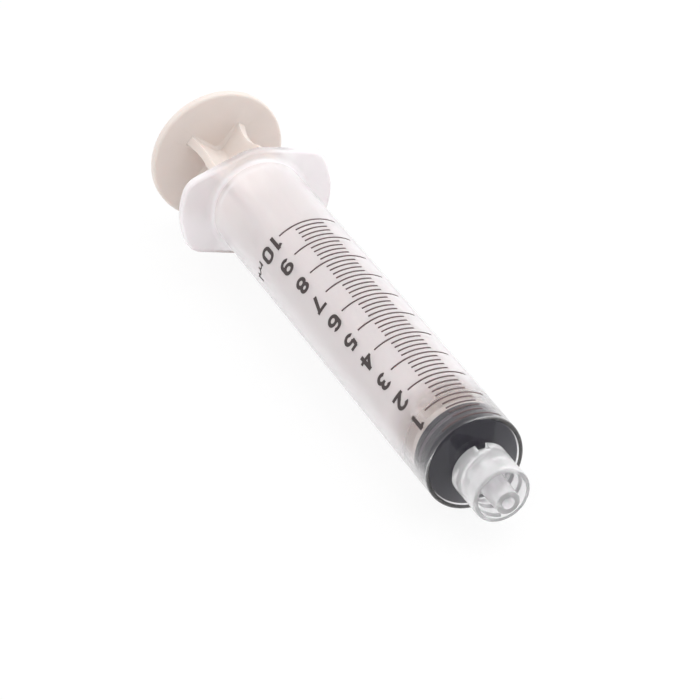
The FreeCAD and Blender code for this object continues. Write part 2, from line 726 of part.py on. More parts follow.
def make_scale_figures():
    tube, ink = worth(TUBE), worth(size("ink_thickness"))
    whole = int(round(worth(size("scale_volume"))))
    zero, per_ml = worth(ZERO_LINE), worth(PER_ML)
    height, width, pen = (worth(size(name)) for name in ("figure_height", "figure_width", "figure_pen"))
    drift, lead = worth(size("figure_drift")), worth(size("figure_lead"))
    long_way = zero + (whole + 1) * per_ml
    start, along = FreeCAD.Vector(-long_way, 0, 0), FreeCAD.Vector(1, 0, 0)
    skin = Part.makeCylinder(tube + ink, long_way, start, along)
    skin = skin.cut(Part.makeCylinder(tube, long_way, start, along))
    pitch = math.degrees(worth(size("figure_pitch")) / tube)
    solids = []
    for number in range(1, whole + 1):
        text = str(number)
        middle = worth(size("figure_angle")) - (whole - number) * drift
        for place, letter in enumerate(text):
            degrees = middle + (place - (len(text) - 1) / 2) * pitch
            strokes = DRAWINGS[letter]((width - pen) / 2, (height - pen) / 2, pen)
            solids += lay_on_barrel(strokes, zero + number * per_ml - lead, degrees, skin).Solids
    unit_height, unit_width, pen = (worth(size(name)) for name in ("unit_height", "unit_width", "unit_pen"))
    baseline = zero + whole * per_ml - lead + height / 2
    pitch = math.degrees(worth(size("unit_pitch")) / tube)
    for place, letter in enumerate("ml"):
        degrees = worth(size("unit_angle")) + (place - 0.5) * pitch
        strokes = DRAWINGS[letter]((unit_width - pen) / 2, (unit_height - pen) / 2, pen)
        solids += lay_on_barrel(strokes, baseline - unit_height / 2, degrees, skin).Solids
    figures = doc.addObject("Part::Feature", "scale_figures")
    figures.Label = "scale_figures"
    figures.Shape = Part.makeCompound(solids)
    figures.Placement = FreeCAD.Placement()
    return figures


parts = [make_barrel(), make_stopper(), make_plunger_rod(), make_scale_lines(), make_scale_figures()]
doc.recompute()

for item in doc.Objects:
    if "Invalid" in item.State or "Error" in item.State:
        raise RuntimeError(f"{item.Label} failed: {item.State}")
for part in parts:
    if part.Shape.isNull() or not part.Shape.isValid():
        raise RuntimeError(f"{part.Label} has no valid shape")

os.makedirs("parts", exist_ok=True)
for part in parts:
    part.Shape.exportStep(f"parts/{part.Label}.step")
    box = part.Shape.BoundBox
    print(f"{part.Label}: {len(part.Shape.Solids)} solids, {part.Shape.Volume:.3f} mm3, "
          f"x {box.XMin:.2f} to {box.XMax:.2f}, y {box.YMin:.2f} to {box.YMax:.2f}, "
          f"z {box.ZMin:.2f} to {box.ZMax:.2f}")
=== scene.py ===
# A ten millilitre luer lock syringe, lying on its side on a pale table.
# Metres. +X points out of the luer tip, +Z is up and the finger wings lie along Y.

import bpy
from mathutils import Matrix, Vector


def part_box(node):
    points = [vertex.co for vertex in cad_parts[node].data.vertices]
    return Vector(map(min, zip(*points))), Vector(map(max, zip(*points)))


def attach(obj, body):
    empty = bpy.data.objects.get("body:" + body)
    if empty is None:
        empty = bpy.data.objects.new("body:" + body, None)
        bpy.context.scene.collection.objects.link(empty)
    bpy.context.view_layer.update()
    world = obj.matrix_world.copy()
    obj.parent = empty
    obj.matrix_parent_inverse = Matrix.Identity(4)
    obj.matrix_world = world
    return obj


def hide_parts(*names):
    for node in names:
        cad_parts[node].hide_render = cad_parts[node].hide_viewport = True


bl_info = {
    "name": "Luer Lock Syringe",
    "version": (1, 0, 0),
    "blender": (4, 5, 0),
    "location": "View3D > Sidebar > Syringe",
    "description": "Moulds the plunger, prints the scale and lights a disposable syringe",
    "category": "Add Mesh",
}

import math

import bmesh
import bpy
from bpy.props import FloatProperty, FloatVectorProperty, IntProperty, PointerProperty
from mathutils import Euler, Matrix, Vector

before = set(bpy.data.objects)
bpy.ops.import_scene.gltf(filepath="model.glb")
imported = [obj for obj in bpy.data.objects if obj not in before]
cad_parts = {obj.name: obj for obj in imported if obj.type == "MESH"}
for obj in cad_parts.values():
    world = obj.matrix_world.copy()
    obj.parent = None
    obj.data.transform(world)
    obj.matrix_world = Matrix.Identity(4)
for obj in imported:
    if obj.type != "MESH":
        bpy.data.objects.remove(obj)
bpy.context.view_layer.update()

MM = 0.001

BARREL_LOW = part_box("barrel")[0]
STOPPER_LOW, STOPPER_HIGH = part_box("stopper")
ROD_LOW, ROD_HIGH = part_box("plunger_rod")
LINES_LOW, LINES_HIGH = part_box("scale_lines")

# Where the barrel's outside lies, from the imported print: its top face is the ink's
INK_TOP = LINES_HIGH.z
INK_HEIGHT = 0.03 * MM

# How far the print's underside sinks into the barrel, so that no two faces lie in one place
INK_ROOT = 0.01 * MM

# Places along the barrel: the back of its front wall, the foot of the luer collar, the end of
# the front rim's rounding, and the flange's front face
NOSE_BACK = -12.3 * MM
COLLAR_FOOT = -9.6 * MM
RIM_END = -12.05 * MM
FLANGE_FRONT = BARREL_LOW.x + 1.7 * MM

# The tube grows milkier from the stopper back to here, and hazier over this length at the flange
MILK_START = -27 * MM
HAZE_FADE = 8 * MM

# How far from the axis the flange's waist ends and its wings are at their milkiest
WAIST_END = 4 * MM
WING_START = 9 * MM

# Fine grain of the moulds
GRAIN = 0.5 * MM
GRAIN_DEPTH = 0.004 * MM

# Gaps round the rod's head in the stopper, and between the stopper and the pusher disc
HEAD_GAP = 0.08 * MM
PUSHER_GAP = 0.2 * MM

# Rounding of the thumb disc's edges and of the roots of the rod's ribs, and softness of the
# ribs' edges
THUMB_ROUNDING = 0.5 * MM
RIB_ROOT = 1.0 * MM
RIB_SOFTNESS = 0.12 * MM

# Stations along the rod's straight ribs and along their hollows, points along a scale line, and
# steps along the arc of a rounded corner
RIB_BAYS = 12
HOLLOW_STEPS = 16
LINE_POINTS = 25
ARC_STEPS = 6

# Steps round the axis for the stopper and for the rod, and the angle from which an edge is sharp
STOPPER_STEPS = 180
ROD_STEPS = 360
SHARP = math.radians(35)

# The table's half width, the overhead lamp, and the point below the lamp that it faces, in metres
TABLE_HALF = 3.0
LAMP_SIZE = 0.5
LAMP_PLACE = Vector((-0.05, 0.25, 0.55))
LAMP_AIM = Vector((-0.05, 0.0, 0.0))

# How directly a way out of the room must point at its dim side to be at all dim, and fully dim
DIM_FROM = 0.1
DIM_TO = 0.85


# Node graphs


class Socket:
    """An output of a node. Sums on it add the Math nodes that work them out."""

    def __init__(self, graph, output):
        self.graph = graph
        self.output = output

    def math(self, operation, *values):
        return self.graph.node("ShaderNodeMath", {"operation": operation}, dict(enumerate(values)))

    def __add__(self, other):
        return self.math("ADD", self, other)

    def __radd__(self, other):
        return self.math("ADD", other, self)

    def __sub__(self, other):
        return self.math("SUBTRACT", self, other)

    def __rsub__(self, other):
        return self.math("SUBTRACT", other, self)

    def __mul__(self, other):
        return self.math("MULTIPLY", self, other)

    def __rmul__(self, other):
        return self.math("MULTIPLY", other, self)

    def __truediv__(self, other):
        return self.math("DIVIDE", self, other)

    def __rtruediv__(self, other):
        return self.math("DIVIDE", other, self)

    def __gt__(self, other):
        return self.math("GREATER_THAN", self, other)

    def __lt__(self, other):
        return self.math("LESS_THAN", self, other)

    def floor(self):
        return self.math("FLOOR", self)

    def absolute(self):
        return self.math("ABSOLUTE", self)

    def root(self):
        return self.math("SQRT", self)

    def sine(self):
        return self.math("SINE", self)

    def cosine(self):
        return self.math("COSINE", self)


class Graph:
    """A node tree under construction, of a material or of a geometry recipe."""

    def __init__(self, tree):
        self.tree = tree
        self.tree.nodes.clear()

    def node(self, kind, settings=None, sockets=None, output=0):
        """Add a node. Its settings come first, then its sockets' values or links."""
        made = self.tree.nodes.new(kind)
        for name, value in (settings or {}).items():
            setattr(made, name, value)
        for name, value in (sockets or {}).items():
            if isinstance(value, Socket):
                self.tree.links.new(value.output, made.inputs[name])
            else:
                made.inputs[name].default_value = value
        if not made.outputs:
            return None
        return Socket(self, made.outputs[output])

    def mix_colours(self, factor, first, second):
        return self.node("ShaderNodeMix", {"data_type": "RGBA"}, {0: factor, 6: first, 7: second}, 2)

    def join_xyz(self, x, y, z):
        return self.node("ShaderNodeCombineXYZ", None, {0: x, 1: y, 2: z})

    def split_xyz(self, vector):
        made = self.node("ShaderNodeSeparateXYZ", None, {0: vector}).output.node
        return [Socket(self, output) for output in made.outputs]


class Finish(Graph):
    """A material made of nodes on object coordinates, where a length of 1 is a metre."""

    def __init__(self, name):
        self.material = bpy.data.materials.new(name)
        self.material.use_nodes = True
        super().__init__(self.material.node_tree)
        self.place = self.node("ShaderNodeTexCoord", output="Object")

    def stretched(self, along, across):
        """Object coordinates with one length along the barrel and another across it."""
        scale = (along, across, across)
        return self.node("ShaderNodeMapping", None, {"Vector": self.place, "Scale": scale})

    def noise(self, size, detail=2.0, place=None):
        """Soft noise from 0 to 1, with lumps of a size in metres."""
        return self.node("ShaderNodeTexNoise", {"noise_dimensions": "3D"}, {
            "Vector": place or self.place,
            "Scale": 1 / size,
            "Detail": detail,
        })

    def bump(self, height, depth, below=None):
        """A normal from a height of 0 to 1 that stands for a depth in metres."""
        sockets = {"Height": height, "Distance": depth, "Strength": 1.0}
        if below:
            sockets["Normal"] = below
        return self.node("ShaderNodeBump", None, sockets)

    def ease(self, value, start, end, first, last):
        """Go from a first value at a start to a last one at an end."""
        return self.node("ShaderNodeMapRange", {"interpolation_type": "SMOOTHSTEP"}, {
            "Value": value,
            "From Min": start,
            "From Max": end,
            "To Min": first,
            "To Max": last,
        })

    def surface(self, sockets):
        """Close the material with a Principled shader."""
        shader = self.node("ShaderNodeBsdfPrincipled", None, sockets)
        self.node("ShaderNodeOutputMaterial", None, {"Surface": shader})
        return self.material


class Recipe(Graph):
    """A geometry recipe whose inputs are named sizes."""

    SOCKETS = {float: "NodeSocketFloat", int: "NodeSocketInt", bpy.types.Material: "NodeSocketMaterial"}

    def __init__(self, name):
        super().__init__(bpy.data.node_groups.new(name, "GeometryNodeTree"))
        self.identifiers = {}
        self.tree.interface.new_socket("Geometry", in_out="INPUT", socket_type="NodeSocketGeometry")
        self.tree.interface.new_socket("Geometry", in_out="OUTPUT", socket_type="NodeSocketGeometry")
        self.start = self.tree.nodes.new("NodeGroupInput")
        self.geometry = Socket(self, self.start.outputs[0])

    def size(self, name, kind=float):
        """Add a named input and give its socket back."""
        item = self.tree.interface.new_socket(name, in_out="INPUT", socket_type=self.SOCKETS[kind])
        self.identifiers[name] = item.identifier
        return Socket(self, next(o for o in self.start.outputs if o.identifier == item.identifier))

    def sample(self, source, value, index, kind="FLOAT"):
        """Read a value of a source geometry's points by their number."""
        settings = {"data_type": kind, "domain": "POINT"}
        sockets = {"Geometry": source, "Value": value, "Index": index}
        return self.node("GeometryNodeSampleIndex", settings, sockets)

    def named(self, name):
        return self.node("GeometryNodeInputNamedAttribute", {"data_type": "FLOAT"}, {"Name": name})

    def close(self, geometry, material):
        """End the recipe: smooth, real meshes with a material."""
        smooth = self.node("GeometryNodeSetShadeSmooth", None, {"Geometry": geometry})
        real = self.node("GeometryNodeRealizeInstances", None, {"Geometry": smooth})
        dressed = self.node("GeometryNodeSetMaterial", None, {"Geometry": real, "Material": material})
        self.node("NodeGroupOutput", None, {0: dressed})

    def cook(self, name, mesh, values):
        """Run the recipe on a mesh and give back a plain mesh object."""
        host = bpy.data.objects.new(name + "_recipe", mesh)
        bpy.context.scene.collection.objects.link(host)
        modifier = host.modifiers.new("recipe", "NODES")
        modifier.node_group = self.tree
        for size_name, value in values.items():
            modifier[self.identifiers[size_name]] = value
        graph = bpy.context.evaluated_depsgraph_get()
        plain = bpy.data.meshes.new_from_object(host.evaluated_get(graph))
        plain.name = name
        bpy.data.objects.remove(host)
        piece = bpy.data.objects.new(name, plain)
        bpy.context.scene.collection.objects.link(piece)
        return piece


# Turned outlines: (distance along X, radius, rounding), which a recipe turns about the axis


def rounded(corners):
    """Points of an outline with its corners rounded by arcs."""
    points = []
    for number, (x, radius, rounding) in enumerate(corners):
        here = Vector((x, radius))
        if rounding == 0:
            points.append((x, radius))
            continue
        before = (Vector(corners[number - 1][:2]) - here).normalized()
        after = (Vector(corners[number + 1][:2]) - here).normalized()
        half = before.angle(after) / 2
        centre = here + (before + after).normalized() * (rounding / math.sin(half))
        first = here + before * (rounding / math.tan(half)) - centre
        last = here + after * (rounding / math.tan(half)) - centre
        swing = first.angle_signed(last)
        for step in range(ARC_STEPS + 1):
            spoke = first.copy()
            spoke.rotate(Matrix.Rotation(-swing * step / ARC_STEPS, 2))
            points.append(tuple(centre + spoke))
    return points


def hollow(start, end, radius, depth, steps):
    """Points of a shallow arc between two stations at one radius."""
    length = abs(end - start)
    bend = (length * length / 4 + depth * depth) / (2 * depth)
    points = []
    for step in range(steps + 1):
        x = start + (end - start) * step / steps
        off_middle = x - (start + end) / 2
        points.append((x, radius - depth + bend - math.sqrt(bend * bend - off_middle * off_middle)))
    return points


def outline_mesh(name, points):
    """A polyline of (x, radius, ribbed, swell), from the axis round to the axis again."""
    mesh = bpy.data.meshes.new(name)
    vertices = [(x, radius, 0) for x, radius, ribbed, swell in points]
    mesh.from_pydata(vertices, [(n, n + 1) for n in range(len(points) - 1)], [])
    for attribute, place in (("ribbed", 2), ("swell", 3)):
        layer = mesh.attributes.new(attribute, "FLOAT", "POINT")
        layer.data.foreach_set("value", [point[place] for point in points])
    return mesh


def turning_recipe():
    """Turn an outline about X. Where it is ribbed, it is cut back between four ribs."""
    recipe = Recipe("turned and ribbed")
    steps = recipe.size("Steps", int)
    rib_half = recipe.size("Half Rib Thickness")
    rib_root = recipe.size("Rib Root Radius")
    rib_edge = recipe.size("Rib Edge Softness")
    roll = recipe.size("Roll")
    material = recipe.size("Material", bpy.types.Material)
    count = recipe.node("GeometryNodeAttributeDomainSize", {"component": "MESH"}, {0: recipe.geometry})
    column = steps + 1
    sheet = recipe.node("GeometryNodeMeshGrid", None, {"Vertices X": count, "Vertices Y": column})
    index = recipe.node("GeometryNodeInputIndex")
    row = ((index + 0.5) / column).floor()
    angle = roll + (index - row * column) * math.tau / steps
    outline = recipe.node("GeometryNodeInputPosition")
    point = recipe.sample(recipe.geometry, outline, row, "FLOAT_VECTOR")
    x, radius = recipe.split_xyz(point)[:2]
    ribbed = recipe.sample(recipe.geometry, recipe.named("ribbed"), row)
    swell = recipe.sample(recipe.geometry, recipe.named("swell"), row)
    off_rib = recipe.node("ShaderNodeMath", {"operation": "WRAP"}, {
        0: angle - roll,
        1: math.pi / 4,
        2: -math.pi / 4,
    }).absolute()
    half = rib_half + swell
    centre = half + rib_root
    flank = half / (off_rib + 1e-4).sine()
    along = centre * (off_rib.cosine() + off_rib.sine())
    rounding = along - (along * along - 2 * centre * centre + rib_root * rib_root).root()
    past_flank = off_rib > half.math("ARCTAN2", half, centre)
    web = flank + (rounding - flank) * past_flank
    cut_back = radius.math("SMOOTH_MIN", radius, web, rib_edge)
    reach = radius + (cut_back - radius) * ribbed
    place = recipe.join_xyz(x, reach * angle.cosine(), reach * angle.sine())
    bent = recipe.node("GeometryNodeSetPosition", None, {"Geometry": sheet, "Position": place})
    merged = recipe.node("GeometryNodeMergeByDistance", None, {"Geometry": bent, "Distance": 1e-6})
    recipe.close(merged, material)
    return recipe


def face_outwards(mesh):
    """Point a closed mesh's faces outwards, and keep its sharp edges."""
    work = bmesh.new()
    work.from_mesh(mesh)
    bmesh.ops.recalc_face_normals(work, faces=work.faces)
    work.to_mesh(mesh)
    work.free()
    mesh.set_sharp_from_angle(angle=SHARP)


def scale_recipe():
    """Lay bands of ink along the barrel, with a long one at each whole number."""
    recipe = Recipe("printed scale")
    steps = recipe.size("Steps", int)
    divisions = recipe.size("Divisions", int)
    zero = recipe.size("Zero")
    reach = recipe.size("Reach")
    width = recipe.size("Line Width")
    tube = recipe.size("Tube Radius")
    ink = recipe.size("Ink Height")
    arcs = [recipe.size("Short Arc"), recipe.size("Long Arc")]
    material = recipe.size("Material", bpy.types.Material)
    row = recipe.node("GeometryNodeMeshLine", {"mode": "END_POINTS"}, {
        "Count": steps + 1,
        "Start Location": recipe.join_xyz(zero, 0.0, 0.0),
        "Offset": recipe.join_xyz(reach, 0.0, 0.0),
    })
    number = recipe.node("GeometryNodeInputIndex")
    whole = (number - (number / divisions + 0.001).floor() * divisions) < 0.5
    printed = []
    for arc, chosen in zip(arcs, (1 - whole, whole)):
        block = recipe.node("GeometryNodeMeshCube", None, {
            "Size": (1, 1, 1),
            "Vertices Y": LINE_POINTS,
        })
        x, y, z = recipe.split_xyz(recipe.node("GeometryNodeInputPosition"))
        radius = tube + (z + 0.5) * ink - (0.5 - z) * INK_ROOT
        angle = y * arc
        place = recipe.join_xyz(x * width, radius * angle.sine(), radius * angle.cosine())
        band = recipe.node("GeometryNodeSetPosition", None, {"Geometry": block, "Position": place})
        printed.append(recipe.node("GeometryNodeInstanceOnPoints", None, {
            "Points": row,
            "Selection": chosen,
            "Instance": band,
        }))
    joined = recipe.tree.nodes.new("GeometryNodeJoinGeometry")
    for lines in reversed(printed):
        recipe.tree.links.new(lines.output, joined.inputs[0])
    recipe.close(Socket(recipe, joined.outputs[0]), material)
    return recipe


# Settings


class BarrelFinish(bpy.types.PropertyGroup):
    tint: FloatVectorProperty(
        name="Tint", description="Colour of the plastic", subtype="COLOR", size=4,
        default=(1.0, 0.992, 1.0, 1.0))
    milk: FloatVectorProperty(
        name="Milk", description="Colour of the light that thick plastic scatters", subtype="COLOR",
        size=4, default=(0.99, 0.87, 0.89, 1.0))
    collar_colour: FloatVectorProperty(
        name="Collar colour", description="Colour of the light that the luer collar scatters",
        subtype="COLOR", size=4, default=(0.93, 0.93, 0.97, 1.0))
    index: FloatProperty(
        name="Index", description="How strongly the plastic bends and mirrors light", default=1.32)
    tube_haze: FloatProperty(
        name="Tube haze", description="Roughness of the tube, which blurs what is behind it",
        subtype="FACTOR", default=0.18, min=0, max=1)
    nose_haze: FloatProperty(
        name="Nose haze", description="Roughness of the tube's polished front wall",
        subtype="FACTOR", default=0.0, min=0, max=1)
    flange_haze: FloatProperty(
        name="Flange haze", description="Roughness of the flange", subtype="FACTOR", default=0.26,
        min=0, max=1)
    collar_haze: FloatProperty(
        name="Collar haze", description="Roughness of the luer collar", subtype="FACTOR",
        default=0.22, min=0, max=1)
    front_milk: FloatProperty(
        name="Front milk", description="Share of the light that the tube scatters over the stopper",
        subtype="FACTOR", default=0.045, min=0, max=1)
    tube_milk: FloatProperty(
        name="Tube milk", description="Share of the light that the rest of the tube scatters",
        subtype="FACTOR", default=0.5, min=0, max=1)
    flange_milk: FloatProperty(
        name="Flange milk", description="Share of the light that the flange scatters",
        subtype="FACTOR", default=0.78, min=0, max=1)
    waist_milk: FloatProperty(
        name="Waist milk", description="Share of that where the flange is narrow", subtype="FACTOR",
        default=0.35, min=0, max=1)
    collar_milk: FloatProperty(
        name="Collar milk", description="Share of the light that the luer collar scatters",
        subtype="FACTOR", default=0.33, min=0, max=1)


class StopperShape(bpy.types.PropertyGroup):
    colour: FloatVectorProperty(
        name="Colour", description="Colour of the rubber", subtype="COLOR", size=4,
        default=(0.013, 0.012, 0.02, 1.0))
    # The groove's colour is a painted highlight: paler rubber stands for the thin bright line of light
    # between the ribs.
    groove_highlight_colour: FloatVectorProperty(
        name="Groove colour", description="Colour of the dry groove between the ribs", subtype="COLOR",
        size=4, default=(0.22, 0.19, 0.22, 1.0))
    rim_length: FloatProperty(
        name="Rim length", description="Front edge to back", unit="LENGTH", default=4.35 * MM)
    back_rib: FloatProperty(
        name="Back rib", description="Length of the back sealing rib", unit="LENGTH", default=1.2 * MM)
    groove_depth: FloatProperty(
        name="Groove depth", description="Depth of the groove between the ribs", unit="LENGTH",
        default=0.6 * MM)
    groove_width: FloatProperty(
        name="Groove width", description="Width of the groove between the ribs", unit="LENGTH",
        default=0.9 * MM)
    face_flat: FloatProperty(
        name="Face flat", description="Radius of the flat in the middle of the face", unit="LENGTH",
        default=1.6 * MM)
    lip: FloatProperty(
        name="Lip", description="Length of the lip that holds the rod's head", unit="LENGTH",
        default=1.1 * MM)


class RodShape(bpy.types.PropertyGroup):
    colour: FloatVectorProperty(
        name="Colour", description="Colour of the rod's plastic", subtype="COLOR", size=4,
        default=(0.795, 0.72, 0.675, 1.0))
    rib_radius: FloatProperty(
        name="Rib radius", description="Axis to the ribs' edges", unit="LENGTH", default=6.8 * MM)
    rib_thickness: FloatProperty(
        name="Rib thickness", description="Thickness of the four ribs", unit="LENGTH", default=1.4 * MM)
    roll: FloatProperty(
        name="Roll", description="Turn of the ribs away from upright", subtype="ANGLE",
        default=math.radians(48.7))
    head_radius: FloatProperty(
        name="Head radius", description="Radius of the head in the stopper", unit="LENGTH",
        default=3.4 * MM)
    neck_radius: FloatProperty(
        name="Neck radius", description="Radius of the neck behind the head", unit="LENGTH",
        default=2.2 * MM)
    pusher: FloatProperty(
        name="Pusher", description="Thickness of the disc behind the stopper", unit="LENGTH",
        default=1.2 * MM)
    waist_length: FloatProperty(
        name="Waist length", description="Length of each rib's hollow beside the thumb disc",
        unit="LENGTH", default=8.0 * MM)
    waist_depth: FloatProperty(
        name="Waist depth", description="Depth of that hollow", unit="LENGTH", default=0.9 * MM)
    thumb_thickness: FloatProperty(
        name="Thumb thickness", description="Thickness of the thumb disc", unit="LENGTH",
        default=1.65 * MM)


class PrintShape(bpy.types.PropertyGroup):
    ink: FloatVectorProperty(
        name="Ink", description="Colour of the print", subtype="COLOR", size=4,
        default=(0.028, 0.017, 0.017, 1.0))
    line_width: FloatProperty(
        name="Line width", description="Width of the scale lines", unit="LENGTH", default=0.32 * MM)
    long_line: FloatProperty(
        name="Long line", description="Arc of a whole-millilitre line", subtype="ANGLE",
        default=math.radians(73.0))
    short_line: FloatProperty(
        name="Short line", description="Arc of the lines between them", subtype="ANGLE",
        default=math.radians(35.5))
    line_thinness: FloatProperty(
        name="Line thinness", description="How much paler the lines' ink is where it is thin",
        default=9.0)
    figure_thinness: FloatProperty(
        name="Figure thinness", description="How much paler the figures' ink is where it is thin",
        default=2.0)
    millilitres: IntProperty(name="Millilitres", description="Length of the scale", default=10)
    divisions: IntProperty(name="Divisions", description="Lines to a millilitre", default=5)


class StageSetting(bpy.types.PropertyGroup):
    floor: FloatVectorProperty(
        name="Floor", description="Colour of the table", subtype="COLOR", size=4,
        default=(0.9, 0.9, 0.9, 1.0))
    floor_glow: FloatProperty(
        name="Floor glow", description="Share of the floor that the camera sees as plain white",
        subtype="FACTOR", default=0.9, min=0, max=1)
    room_light: FloatProperty(
        name="Room light", description="Strength of the even light from all round", default=1.06)
    dim_light: FloatProperty(
        name="Dim light", description="Share of that light that the room's dim side gives",
        subtype="FACTOR", default=0.08, min=0, max=1)
    dim_side: FloatVectorProperty(
        name="Dim side", description="Direction of the room's dim side", subtype="DIRECTION", size=3,
        default=(0.93, 0.1, 0.35))
    front_shade: FloatProperty(
        name="Front shade", description="How much of the dimness falls on dull surfaces",
        subtype="FACTOR", default=0.3, min=0, max=1)
    lamp_power: FloatProperty(
        name="Lamp power", description="Power of the soft lamp overhead", unit="POWER", default=1.7)
    lens: FloatProperty(
        name="Lens", description="Focal length of the camera", subtype="DISTANCE_CAMERA", default=221.7)
    distance: FloatProperty(
        name="Distance", description="Camera to the point that it looks at", unit="LENGTH",
        default=678.04 * MM)
    azimuth: FloatProperty(
        name="Azimuth", description="Place of the camera round the syringe", subtype="ANGLE",
        default=math.radians(66.20))
    elevation: FloatProperty(
        name="Elevation", description="Height of the camera above the level", subtype="ANGLE",
        default=math.radians(33.91))
    roll: FloatProperty(
        name="Roll", description="Turn of the camera about its line of sight", subtype="ANGLE",
        default=math.radians(-1.19))
    aim: FloatVectorProperty(
        name="Aim", description="The point that the camera looks at", subtype="TRANSLATION", size=3,
        default=(-49.99 * MM, -3.14 * MM, -1.89 * MM))


# Materials


def barrel_plastic(finish):
    """Translucent plastic: hazy but for the front wall, and milky but for the tube's front end."""
    paint = Finish("translucent_polypropylene")
    flow = paint.noise(1.6 * MM, place=paint.stretched(0.12, 1.0))
    normal = paint.bump(paint.noise(GRAIN), GRAIN_DEPTH, paint.bump(flow, 0.02 * MM))
    along, across = paint.split_xyz(paint.place)[:2]
    inside = paint.node("ShaderNodeNewGeometry", output="Backfacing")
    nose = along > NOSE_BACK
    collar = along > COLLAR_FOOT
    haze_end = FLANGE_FRONT + HAZE_FADE
    haze = paint.ease(along, FLANGE_FRONT, haze_end, finish.flange_haze, finish.tube_haze)
    haze = haze + nose * (finish.nose_haze - finish.tube_haze)
    haze = haze + collar * (finish.collar_haze - finish.nose_haze)
    milk = paint.ease(along, MILK_START, STOPPER_LOW.x, finish.tube_milk, finish.front_milk)
    flange_end = FLANGE_FRONT + 1 * MM
    milk = milk + (along < flange_end) * (finish.flange_milk - milk)
    wing = paint.ease(across.absolute(), WAIST_END, WING_START, finish.waist_milk, 1.0)
    past_flange = paint.ease(along, FLANGE_FRONT - 0.3 * MM, flange_end, 0.0, 1.0)
    milk = milk * (wing + (1 - wing) * past_flange)
    milk = (milk * (1 - nose) + collar * finish.collar_milk) * (1 - inside)
    hazy = paint.node("ShaderNodeBsdfPrincipled", None, {
        "Base Color": tuple(finish.tint),
        "Transmission Weight": 1.0,
        "Roughness": haze,
        "IOR": finish.index,
        "Normal": normal,
    })
    milky = paint.node("ShaderNodeBsdfPrincipled", None, {
        "Base Color": paint.mix_colours(collar, tuple(finish.milk), tuple(finish.collar_colour)),
        "Subsurface Weight": 1.0,
        "Subsurface Radius": (1.0, 0.9, 0.95),
        "Subsurface Scale": 0.5 * MM,
        "Roughness": haze,
        "IOR": finish.index,
        "Normal": normal,
    })
    both = paint.node("ShaderNodeMixShader", None, {0: milk, 1: hazy, 2: milky})
    paint.node("ShaderNodeOutputMaterial", None, {"Surface": both})
    return paint.material


def stopper_rubber(shape):
    """Smooth dark rubber with a faint bloom, and a painted highlight in the groove between the ribs."""
    paint = Finish("stopper_rubber")
    bloom = paint.noise(1.2 * MM, detail=3.0)
    dusty = tuple(channel * 2.2 for channel in shape.colour[:3]) + (1.0,)
    along, across, up = paint.split_xyz(paint.place)
    radius = (across * across + up * up).root()
    # Painted highlight: the groove between the ribs is coloured paler to stand for the light seen
    # there.
    sunk = radius < STOPPER_HIGH.z - 0.25 * shape.groove_depth
    groove = sunk * (along < STOPPER_LOW.x + shape.rim_length - 1 * MM)
    skin = paint.mix_colours(bloom * 0.5, tuple(shape.colour), dusty)
    return paint.surface({
        "Base Color": paint.mix_colours(groove, skin, tuple(shape.groove_highlight_colour)),
        "Roughness": 0.3 + bloom * 0.16,
        "Specular IOR Level": 0.25,
        "IOR": 1.5,
        "Normal": paint.bump(paint.noise(GRAIN), GRAIN_DEPTH),
    })


def rod_plastic(shape):
    """Cream moulded plastic that lets light in a little way."""
    paint = Finish("cream_polypropylene")
    clouds = paint.noise(3.0 * MM, detail=3.0)
    deeper = tuple(channel * 0.94 for channel in shape.colour[:3]) + (1.0,)
    return paint.surface({
        "Base Color": paint.mix_colours(clouds, deeper, tuple(shape.colour)),
        "Roughness": 0.42 + clouds * 0.1,
        "Subsurface Weight": 0.5,
        "Subsurface Radius": (1.0, 0.8, 0.7),
        "Subsurface Scale": 0.8 * MM,
        "IOR": 1.49,
        "Normal": paint.bump(paint.noise(GRAIN), 1.5 * GRAIN_DEPTH),
    })


def print_ink(shape, name, thinness):
    """Dark ink, slightly uneven, and paler where it is thin."""
    paint = Finish(name)
    patches = paint.noise(0.35 * MM, detail=3.0)
    worn = tuple(channel * thinness for channel in shape.ink[:3]) + (1.0,)
    return paint.surface({
        "Base Color": paint.mix_colours(patches * 0.7, tuple(shape.ink), worn),
        "Roughness": 0.38 + patches * 0.2,
        "IOR": 1.5,
    })


def dress(node, material):
    """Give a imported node's object a material in every slot."""
    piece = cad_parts[node]
    piece.data.materials.clear()
    piece.data.materials.append(material)


# Pieces


class SYRINGE_OT_barrel(bpy.types.Operator):
    """Give the barrel its translucent plastic"""
    bl_idname = "syringe.barrel"
    bl_label = "Barrel"

    def execute(self, context):
        dress("barrel", barrel_plastic(context.scene.syringe_barrel))
        return {"FINISHED"}


